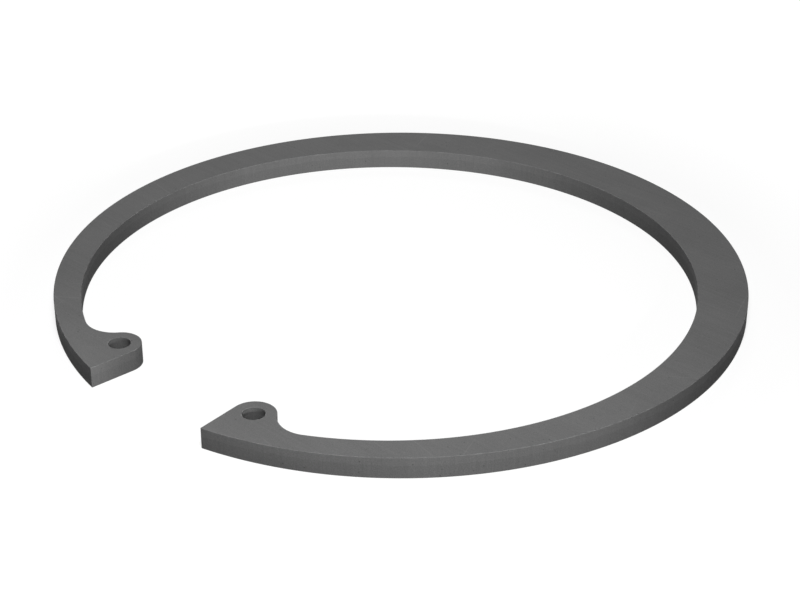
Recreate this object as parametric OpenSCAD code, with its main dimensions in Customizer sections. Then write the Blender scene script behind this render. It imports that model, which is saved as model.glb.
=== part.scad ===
/* [Ring] */
// Outer diameter of the free ring, before it is closed into the groove of a 125 mm bore
outer_d = 132; // [126:0.5:138]
// Thickness of the spring steel
thickness = 4; // [2.5:0.1:5]
// Radial width opposite the gap, where the ring is widest
wide_w = 10.75; // [9:0.05:12.5]
// Radial width that the off-centre opening leaves at the gap, where the ring is narrowest
narrow_w = 4.45; // [3.5:0.05:5.5]

/* [Lugs] */
// Depth of each lug, from the outer circle in to the tip of its nose
lug_depth = 12.05; // [11:0.05:13.5]
// Radius of each nose, which is round about its plier hole
nose_r = 4; // [3.2:0.1:4.6]
// Distance between the centres of the two plier holes
hole_spacing = 35.05; // [32:0.05:40]
// Diameter of each plier hole
hole_d = 4; // [2.5:0.1:5]
// Radius of the hollow by which each lug runs into the ring
hollow_r = 6; // [4:0.25:8]

/* [Gap] */
// Width of the gap between the ring's two outer corners
gap_w = 28.65; // [26:0.05:31]

/* [Edges] */
// Width of the break that tumbling leaves along every edge of the two faces
edge_break = 0.15; // [0.05:0.05:0.4]

/* [Hidden] */

// Every curve here is a true arc or cone, and this is only how finely it is previewed
$fn = 180;

// How far shapes that touch run into each other, so that their edges always cross
bite = 0.002;

// How far the shapes that cut or fill run past the two faces
over = 1;

// How far those of the lugs and the gap run past the outline
reach = gap_w / 2;

// The opening is a circle too, and its centre lies off the ring's, toward the gap
outer_r = outer_d / 2;
opening_r = (outer_d - wide_w - narrow_w) / 2;
opening_at = [0, -(wide_w - narrow_w) / 2];

// Centre of the right lug's nose and hole
hole_at = on_circle(outer_r - lug_depth + nose_r, hole_spacing / 2);

// The end face runs straight in from the outer corner and touches the nose
corner_at = on_circle(outer_r, gap_w / 2);
touch_at = where_line_touches(corner_at, hole_at, nose_r - bite);

// The hollow touches the nose from outside, and the opening's edge from inside
hollow_at = where_circles_meet(
    hole_at, nose_r + hollow_r - bite,
    opening_at, opening_r - hollow_r + bite
);

// The point at distance x to the right, on the gap side of a circle about the ring's centre
function on_circle(r, x) = [x, -sqrt(r * r - x * x)];

// The direction from one point to another
function heading(from, to) = atan2(to.y - from.y, to.x - from.x);

// The point at a distance and a direction from another
function polar(from, r, direction) = from + r * [cos(direction), sin(direction)];

// The point a distance beyond the second of two, on the line through them
function beyond(from, to, d) = polar(to, d, heading(from, to));

// Where the line from p touches the circle of radius r about c, on the gap's side
function where_line_touches(p, c, r) =
    polar(c, r, heading(c, p) - acos(r / norm(p - c)));

// Where two circles meet, on the right of the way from the first centre to the second
function where_circles_meet(c1, r1, c2, r2) =
    let (d = norm(c2 - c1))
    polar(c1, r1, heading(c1, c2) - acos((r1 * r1 + d * d - r2 * r2) / (2 * r1 * d)));

// The section of a shape from an upright plane to its wall at x. By both faces of the ring
// the wall leans by 45 degrees: outward, lean 1, for what is cut away, or inward, lean -1
function section(plane, x, lean, broken = edge_break) = [
    [plane, -over],
    [x + lean * (broken + over), -over],
    [x, broken],
    [x, thickness - broken],
    [x + lean * (broken + over), thickness + over],
    [plane, thickness + over]
];

// What is built for the right side, and its mirror image
module both_sides() {
    children();
    mirror([1, 0, 0]) children();
}

// The steel strip that the ring is stamped from
module strip() {
    w = outer_d + 2 * over;
    translate([-w / 2, -w / 2, 0]) cube([w, w, thickness]);
}

// A disc of radius r whose edges are broken at both faces
module disc(r) {
    rotate_extrude() polygon(section(0, r, -1));
}

// What cuts a round opening of radius r and breaks its edges at both faces
module round_cut(r) {
    rotate_extrude() polygon(section(0, r, 1));
}

// The blank is cut as its die cuts it: the opening, the plier holes and then the gap
module retaining_ring() {
    color("#6b6b6b")
    difference() {
        blank();
        opening();
        both_sides() translate(hole_at) round_cut(hole_d / 2);
        both_sides() end_cut();
    }
}

// A round blank from the strip, with its rim broken at both faces
module blank() {
    intersection() {
        strip();
        disc(outer_r);
    }
}

// The off-centre opening, from which the two lugs stand in and end in their hollows
module opening() {
    difference() {
        translate(opening_at) round_cut(opening_r);
        both_sides() lug();
    }
    both_sides() translate(hollow_at) round_cut(hollow_r);
}

// What is left standing in the opening: the nose, and the web that carries it
module lug() {
    translate(hole_at) disc(nose_r);
    translate([0, 0, -over])
    linear_extrude(thickness + 2 * over)
    polygon([
        hole_at,
        beyond(hole_at, touch_at, reach),
        beyond(touch_at, corner_at, reach),
        polar(opening_at, opening_r + reach, heading(opening_at, hollow_at)),
        hollow_at
    ]);
}

// What cuts the right half of the gap, as far as the end face and its broken edges
module end_cut() {
    translate(beyond(corner_at, touch_at, reach))
    rotate([90, 0, heading(touch_at, corner_at) + 90])
    linear_extrude(norm(corner_at - touch_at) + 2 * reach)
    polygon(section(-reach - over, 0, 1, edge_break + bite));
}

retaining_ring();
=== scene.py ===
import math

import bpy
import numpy as np
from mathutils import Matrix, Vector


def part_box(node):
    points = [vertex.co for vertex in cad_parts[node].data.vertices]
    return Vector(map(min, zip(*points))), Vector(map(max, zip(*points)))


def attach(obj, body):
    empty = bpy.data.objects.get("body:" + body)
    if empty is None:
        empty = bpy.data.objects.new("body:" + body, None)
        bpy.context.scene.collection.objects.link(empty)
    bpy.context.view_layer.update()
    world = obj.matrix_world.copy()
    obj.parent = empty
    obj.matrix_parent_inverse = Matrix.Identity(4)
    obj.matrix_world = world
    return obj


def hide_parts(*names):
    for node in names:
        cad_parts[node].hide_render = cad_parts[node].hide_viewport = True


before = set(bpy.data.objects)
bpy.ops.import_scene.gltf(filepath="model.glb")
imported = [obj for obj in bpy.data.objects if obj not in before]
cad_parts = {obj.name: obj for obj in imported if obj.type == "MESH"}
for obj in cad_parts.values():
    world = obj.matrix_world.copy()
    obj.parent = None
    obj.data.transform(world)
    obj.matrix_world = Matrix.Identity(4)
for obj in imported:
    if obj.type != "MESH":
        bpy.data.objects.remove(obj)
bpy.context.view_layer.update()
scene = bpy.context.scene

# Camera. It stands 0.37 m from the ring, 28 degrees above the table and 43 degrees round
# from the side of the gap, and looks a little below the ring's centre through a long lens.
camera_data = bpy.data.cameras.new("camera")
camera_data.sensor_width = 36
camera_data.lens = 85.95
camera_data.clip_start = 0.01
camera_data.clip_end = 50
camera = bpy.data.objects.new("camera", camera_data)
camera.location = (0.22175, -0.23849, 0.17376)
camera.rotation_euler = [math.radians(turn) for turn in (61.552, 0, 42.952)]
scene.collection.objects.link(camera)
scene.camera = camera

# Retaining ring. The real one is stamped from hardened spring-steel strip, tumbled, so that
# every edge is slightly round, and then phosphated and oiled. It snaps into a bore's groove.
MM = 0.001
RIM_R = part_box("retaining_ring")[1].x / MM
THICKNESS = 4
OPENING_R = 58.4
OPENING_AT = np.array([0, -3.15])
NOSE_R = 4
NOSE_AT = np.array([17.525, -55.237])
HOLE_R = 2
HOLLOW_R = 6
END_X = 14.325
CORNER_R = 0.13
EDGE_R = 0.1
SHOULDER = 0.11
PHOSPHATE_GREY = 0.128


def pointing(angle):
    """The unit vectors at these angles, in degrees from +X toward +Y."""
    angle = np.radians(angle)
    return np.stack([np.cos(angle), np.sin(angle)], axis=-1)


def angle_of(vector):
    """The angles in degrees at which these vectors point."""
    return np.degrees(np.arctan2(vector[..., 1], vector[..., 0]))


def arc(centre, radius, angles, hollow=False):
    """Points of an arc, and the unit vectors there that point into the steel: away from the
    centre of a hollow arc, and toward the centre of a round one."""
    out = pointing(angles)
    return centre + radius * out, out if hollow else -out


def steps(start, end, count):
    """Even steps from just after the start to the end."""
    return np.linspace(start, end, count + 1)[1:]


def joined(*runs):
    """Several runs of points with their vectors, one after the other, as one run."""
    return [np.concatenate(parts) for parts in zip(*runs)]


# The hollow touches the nose from outside and the opening from inside, so the sides of the
# triangle of the three centres are known, and the law of cosines gives its angle at the nose
to_opening = OPENING_AT - NOSE_AT
apart = np.linalg.norm(to_opening)
to_hollow, from_opening = NOSE_R + HOLLOW_R, OPENING_R - HOLLOW_R
nose_start = angle_of(to_opening) - math.degrees(
    math.acos((to_hollow**2 + apart**2 - from_opening**2) / (2 * to_hollow * apart))
)
hollow_at = NOSE_AT + to_hollow * pointing(nose_start)
opening_end = angle_of(hollow_at - OPENING_AT)

# The end face touches the nose and runs out to the rim, where a small round turns the corner
end_corner = np.array([END_X, -math.sqrt(RIM_R**2 - END_X**2)])
to_corner = end_corner - NOSE_AT
nose_end = 360 + angle_of(to_corner) - math.degrees(math.acos(NOSE_R / np.linalg.norm(to_corner)))
touch = NOSE_AT + NOSE_R * pointing(nose_end)
outward = pointing(nose_end + 90)
inside = touch - CORNER_R * pointing(nose_end)
on_way = inside @ outward
face_length = math.sqrt(on_way**2 - inside @ inside + (RIM_R - CORNER_R)**2) - on_way
corner_at = inside + face_length * outward
rim_start = angle_of(corner_at)

# The right half's edge in three runs: down the opening and into the hollow, round the lug,
# and back up the rim. Each point of the rim lies straight outside one of the opening's
hollow_split = -98
down_opening = joined(
    arc(OPENING_AT, OPENING_R, np.linspace(90, opening_end, 161), hollow=True),
    arc(hollow_at, HOLLOW_R, steps(opening_end, hollow_split, 12), hollow=True),
)
rim_angles = angle_of(down_opening[0])
up_rim = arc(np.zeros(2), RIM_R, rim_angles[::-1])
face_turn = steps(0, math.degrees(math.atan(face_length / NOSE_R)), 18)
end_face = (
    touch + NOSE_R * np.tan(np.radians(face_turn))[:, None] * outward,
    np.tile(-pointing(nose_end), (len(face_turn), 1)),
)
round_lug = joined(
    arc(hollow_at, HOLLOW_R, steps(hollow_split, nose_start - 180, 14), hollow=True),
    arc(NOSE_AT, NOSE_R, steps(nose_start, nose_end, 42)),
    end_face,
    arc(corner_at, CORNER_R, steps(nose_end, rim_start + 360, 8)),
    arc(np.zeros(2), RIM_R, steps(rim_start, rim_angles[-1], 25)[:-1]),
)
edge, inward = joined(down_opening, round_lug, up_rim)

# The flat faces end on a line down the middle of the strip, which divides at the plier hole
# and runs round it, so that each point of the edge has a point of this line to face
mid_strip = (down_opening[0] + up_rim[0][::-1]) / 2
hole_start = angle_of(mid_strip[-1] - NOSE_AT)
seen = np.degrees(np.unwrap(np.radians(angle_of(round_lug[0] - NOSE_AT))))
straight_in = [nose_start, nose_end + face_turn[-1]]
hole_angles = np.interp(
    seen,
    [seen[0], *straight_in, seen[-1]],
    [hole_start, *straight_in, hole_start + 360],
)
hole_rim = NOSE_AT + (HOLE_R + EDGE_R) * pointing(hole_angles)
spine = np.concatenate([mid_strip, hole_rim, mid_strip[::-1]])

# The wall's profile: how far each of its rows lies inside the outline, and at what height
turned = np.radians(np.linspace(0, 90, 7))
round_in, round_up = EDGE_R * (1 - np.sin(turned)), EDGE_R * (1 - np.cos(turned))
wall_in = np.concatenate([round_in, [0, 0], round_in[::-1]])
wall_up = np.concatenate(
    [round_up, [SHOULDER, THICKNESS - SHOULDER], THICKNESS - round_up[::-1]]
)
on_round = np.concatenate([np.ones(7), np.zeros(2), np.ones(7)])


def raised(plan, heights):
    """Points in space, from rows of points in plan and a height for each row."""
    return np.dstack([plan, np.tile(heights[:, None], plan.shape[1])])


def skin_of_half():
    """The outside of the right half: one profile carried along its edge. The profile starts
    on the lower face's middle line, goes out to the edge and round it, up the wall, round
    the upper edge, and in to the upper face's middle line. Each point is the edge's point
    moved into the steel by its row's inset. With it goes 1 where an edge is round, else 0."""
    to_edge = edge - spine
    by_spine = spine + 0.1 * to_edge / np.linalg.norm(to_edge, axis=1, keepdims=True)
    flat = np.stack([spine, by_spine, edge + SHOULDER * inward])
    plan = np.concatenate([flat, edge + wall_in[:, None, None] * inward, flat[::-1]])
    up = np.concatenate([np.zeros(3), wall_up, np.full(3, THICKNESS)])
    by_hole = np.repeat([0, 1, 0], [len(mid_strip), len(hole_rim), len(mid_strip)])
    flat_round = np.stack([by_hole, 0 * by_hole, 0 * by_hole])
    wall_round = np.tile(on_round[:, None], len(edge))
    return raised(plan, up), np.concatenate([flat_round, wall_round, flat_round[::-1]])


def skin_of_hole():
    """The wall of the right plier hole: the wall's profile carried round its circle, whose
    radius grows by each row's inset. With it goes 1 where an edge is round, else 0."""
    plan = NOSE_AT + (HOLE_R + wall_in)[:, None, None] * pointing(hole_angles[::-1])
    return raised(plan, wall_up), np.tile(on_round[:, None], len(hole_angles))


def quads(rows, columns):
    """The faces of a grid of points that are counted row by row."""
    corner = np.arange(rows - 1)[:, None] * columns + np.arange(columns - 1)
    around = [corner, corner + 1, corner + columns + 1, corner + columns]
    return np.stack(around, axis=-1).reshape(-1, 4)


# The left half mirrors the right one, and points that meet become one
points, faces, rounds = np.empty((0, 3)), np.empty((0, 4), int), np.empty(0)
for grid, grid_round in (skin_of_half(), skin_of_hole()):
    for side in (1, -1):
        faces = np.concatenate([faces, quads(*grid_round.shape)[:, ::side] + len(points)])
        points = np.concatenate([points, grid.reshape(-1, 3) * [side, 1, 1]])
        rounds = np.concatenate([rounds, grid_round.ravel()])
_, kept, merged = np.unique(
    points.round(6) + 0.0, axis=0, return_index=True, return_inverse=True
)
ring_mesh = bpy.data.meshes.new("spring_ring")
ring_mesh.from_pydata((points[kept] * MM).tolist(), [], merged.ravel()[faces].tolist())
ring_mesh.shade_smooth()
ring_mesh.attributes.new("rounded", "FLOAT", "POINT").data.foreach_set(
    "value", rounds[kept].astype(np.float32)
)
ring = bpy.data.objects.new("spring_ring", ring_mesh)
scene.collection.objects.link(ring)


def node(tree, kind, inputs=None, **settings):
    """Adds a node of this kind. Each of its inputs is a value to set or a socket to link."""
    made = tree.nodes.new(kind)
    for name, value in settings.items():
        setattr(made, name, value)
    for name, value in (inputs or {}).items():
        if isinstance(value, bpy.types.NodeSocket):
            tree.links.new(value, made.inputs[name])
        else:
            made.inputs[name].default_value = value
    return made


def calc(tree, operation, *values):
    """One step of arithmetic on sockets or numbers."""
    return node(tree, "ShaderNodeMath", dict(enumerate(values)), operation=operation).outputs[0]


def spread(tree, value, low, high, start=0, end=1):
    """Runs evenly from low to high as the value runs from start to end."""
    ends = {"From Min": start, "From Max": end, "To Min": low, "To Max": high}
    return node(tree, "ShaderNodeMapRange", {"Value": value, **ends}).outputs[0]


def rise(tree, value, start, end):
    """Runs smoothly from 0 to 1 as the value runs from start to end."""
    ends = {"From Min": start, "From Max": end}
    return node(
        tree, "ShaderNodeMapRange", {"Value": value, **ends}, interpolation_type="SMOOTHSTEP"
    ).outputs[0]


def noise(tree, place, scale, detail, longer=(1, 1, 1), turn=0):
    """Noise from 0 to 1 with this many features to the metre, made so many times longer along
    each axis, and then turned in plan by so many degrees."""
    shape = {"Vector": place, "Rotation": (0, 0, math.radians(turn)), "Scale": longer}
    drawn = node(tree, "ShaderNodeMapping", shape, vector_type="TEXTURE").outputs[0]
    look = {"Vector": drawn, "Scale": scale, "Detail": detail}
    return node(tree, "ShaderNodeTexNoise", look).outputs["Fac"]


steel = bpy.data.materials.new("phosphated_spring_steel")
steel.use_nodes = True
tree = steel.node_tree
tree.nodes.clear()
place = node(tree, "ShaderNodeTexCoord").outputs["Object"]
height = node(tree, "ShaderNodeSeparateXYZ", {0: place}).outputs["Z"]
rounded = node(tree, "ShaderNodeAttribute", attribute_name="rounded").outputs["Fac"]

# The phosphate is a skin of fine crystals with a pore here and there, a little darker in
# some places than in others, and oil lies in it unevenly
grain = noise(tree, place, 5200, 4)
patches = noise(tree, place, 75, 4)
oil = noise(tree, place, 38, 2)
cells = node(tree, "ShaderNodeTexVoronoi", {"Vector": place, "Scale": 700}).outputs
big_cells = calc(tree, "LESS_THAN", noise(tree, place, 700, 0), 0.44)
pores = calc(tree, "MULTIPLY", rise(tree, cells["Distance"], 0.13, 0.07), big_cells)

# Under it are the strip's faint rolling lines, along both faces, and on the walls the upright
# marks that the punch left: drawn smooth near the upper face, and torn rough below
half = THICKNESS / 2 * MM
on_wall = calc(tree, "COMPARE", height, half, half - 0.05 * MM)
rolling = noise(tree, place, 1700, 5, longer=(40, 1, 1))
upright = noise(tree, place, 2600, 4, longer=(1, 1, 25))
lines = spread(tree, on_wall, rolling, upright)
torn_to = calc(tree, "MULTIPLY_ADD", noise(tree, place, 260, 3), -0.8 * MM, 2.9 * MM)
below = calc(tree, "SUBTRACT", torn_to, height)
torn = calc(tree, "MULTIPLY", rise(tree, below, -0.12 * MM, 0.12 * MM), on_wall)
pits = noise(tree, place, 2600, 5)

# Handling and tumbling leave fine scratches on the faces and rub the skin off the edges
scratches = [
    rise(tree, noise(tree, place, 2000, 1, longer=(45, 1, 1), turn=turn), 0.71, 0.77)
    for turn in (35, -70, -12)
]
scratched = calc(tree, "MAXIMUM", calc(tree, "MAXIMUM", *scratches[:2]), scratches[2])
scratched = calc(tree, "MULTIPLY", scratched, calc(tree, "SUBTRACT", 1, on_wall))
rubbed = calc(tree, "MULTIPLY", rise(tree, noise(tree, place, 500, 3), 0.42, 0.66), rounded)
bare = calc(tree, "MAXIMUM", calc(tree, "MULTIPLY", scratched, 0.45), rubbed)

tone = spread(tree, patches, 0.94, 1.06, 0.3, 0.7)
tone = calc(tree, "MULTIPLY", tone, spread(tree, grain, 0.84, 1.16, 0.25, 0.75))
tone = calc(tree, "MULTIPLY", tone, spread(tree, lines, 0.95, 1.05, 0.25, 0.75))
tone = calc(tree, "MULTIPLY", tone, spread(tree, torn, 1.03, 0.96))
tone = calc(tree, "MULTIPLY", tone, spread(tree, pores, 1, 0.7))
tone = calc(tree, "MULTIPLY", tone, spread(tree, bare, 1, 1.25))
grey = calc(tree, "MULTIPLY", tone, PHOSPHATE_GREY)

roughness = spread(tree, oil, 0.48, 0.62, 0.3, 0.7)
roughness = calc(tree, "MULTIPLY_ADD", grain, 0.08, roughness)
roughness = calc(tree, "MULTIPLY_ADD", torn, 0.05, roughness)
roughness = calc(tree, "MULTIPLY_ADD", bare, -0.2, roughness)

# Each part of the relief is given by its depth
depth = calc(tree, "MULTIPLY", grain, 0.008 * MM)
depth = calc(tree, "MULTIPLY_ADD", lines, 0.008 * MM, depth)
depth = calc(tree, "MULTIPLY_ADD", pits, calc(tree, "MULTIPLY", torn, 0.02 * MM), depth)
depth = calc(tree, "MULTIPLY_ADD", scratched, -0.004 * MM, depth)
depth = calc(tree, "MULTIPLY_ADD", pores, -0.01 * MM, depth)
relief = node(tree, "ShaderNodeBump", {"Height": depth, "Distance": 1, "Strength": 1})
shader = node(
    tree,
    "ShaderNodeBsdfPrincipled",
    {
        "Base Color": grey,
        "Roughness": roughness,
        "Specular IOR Level": 0.02,
        "Normal": relief.outputs[0],
    },
)
node(tree, "ShaderNodeOutputMaterial", {"Surface": shader.outputs[0]})
ring_mesh.materials.append(steel)
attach(ring, "root")
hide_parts("retaining_ring")

# Table. A plain pale board, which shows as white and takes the ring's soft shadow. Away from
# the ring it fades into the white room.
TABLE_HALF = 4
TABLE_TOP = -0.00005
TABLE_GREY = 0.2
SHADOW_END, WHITE_START = 0.075, 0.15
board_mesh = bpy.data.meshes.new("table")
board_mesh.from_pydata(
    [(x * TABLE_HALF, y * TABLE_HALF, TABLE_TOP) for x, y in ((-1, -1), (1, -1), (1, 1), (-1, 1))],
    [],
    [(0, 1, 2, 3)],
)
board = bpy.data.objects.new("table", board_mesh)
scene.collection.objects.link(board)


def seen(tree):
    """1 where a ray comes from the camera or by way of metal or glass, else 0."""
    path = node(tree, "ShaderNodeLightPath").outputs
    mirrored = calc(tree, "ADD", path["Is Glossy Ray"], path["Is Transmission Ray"])
    return rise(tree, calc(tree, "ADD", path["Is Camera Ray"], mirrored), 0, 1)


pale = bpy.data.materials.new("pale_board")
pale.use_nodes = True
tree = pale.node_tree
tree.nodes.clear()
place = node(tree, "ShaderNodeTexCoord").outputs["Object"]
from_ring = node(tree, "ShaderNodeVectorMath", {0: place}, operation="LENGTH").outputs["Value"]
whiteness = spread(tree, from_ring, 0.82, 1, SHADOW_END, WHITE_START)
whiteness = calc(tree, "MULTIPLY", seen(tree), whiteness)
diffuse = node(tree, "ShaderNodeBsdfDiffuse", {"Color": [TABLE_GREY] * 3 + [1]})
glow = node(tree, "ShaderNodeEmission", {"Strength": whiteness})
both = node(tree, "ShaderNodeAddShader", {0: diffuse.outputs[0], 1: glow.outputs[0]})
node(tree, "ShaderNodeOutputMaterial", {"Surface": both.outputs[0]})
board_mesh.materials.append(pale)

# Light. A soft lamp above the camera lights the whole ring, a low one on the camera's right
# the walls that face it, and a narrow one the left end face. A weak one stands behind. At
# their level a colour renders as it is written, and the room about them is white.
def lamp(name, kind, spot, aim, power, **settings):
    """Adds a lamp of this kind at a spot, turned toward its aim."""
    lamp_data = bpy.data.lights.new(name, kind)
    for key, value in {"energy": power, **settings}.items():
        setattr(lamp_data, key, value)
    made = bpy.data.objects.new(name, lamp_data)
    away = np.array(spot) - aim
    made.location = spot
    made.rotation_euler = (
        math.atan2(math.hypot(*away[:2]), away[2]),
        0,
        math.radians(angle_of(away) + 90),
    )
    scene.collection.objects.link(made)


disc = {"shape": "DISK"}
lamp("over", "AREA", (0.148, -0.156, 0.337), (-0.2, -0.05, 0), 1.64, size=0.12, **disc)
lamp("behind", "AREA", (-0.699, 0.749, 0.8), (0, 0, 0), 2.5, size=0.5, **disc)
beam = {"spot_blend": 1, "shadow_soft_size": 0.008}
LOW_CONE, NARROW_CONE = math.radians(5.57), math.radians(1.71)
lamp("low", "SPOT", (1.057, -0.707, 0.27), (-0.1, 0.069, 0), 48.2, spot_size=LOW_CONE, **beam)
end_face = (-0.04, -0.071, 0)
lamp("narrow", "SPOT", (1.272, -0.051, 0.264), end_face, 57, spot_size=NARROW_CONE, **beam)

room = bpy.data.worlds.new("room")
scene.world = room
room.use_nodes = True
tree = room.node_tree
tree.nodes.clear()
backdrop = node(tree, "ShaderNodeBackground", {"Strength": seen(tree)})
node(tree, "ShaderNodeOutputWorld", {"Surface": backdrop.outputs[0]})

scene.view_settings.view_transform = "Standard"
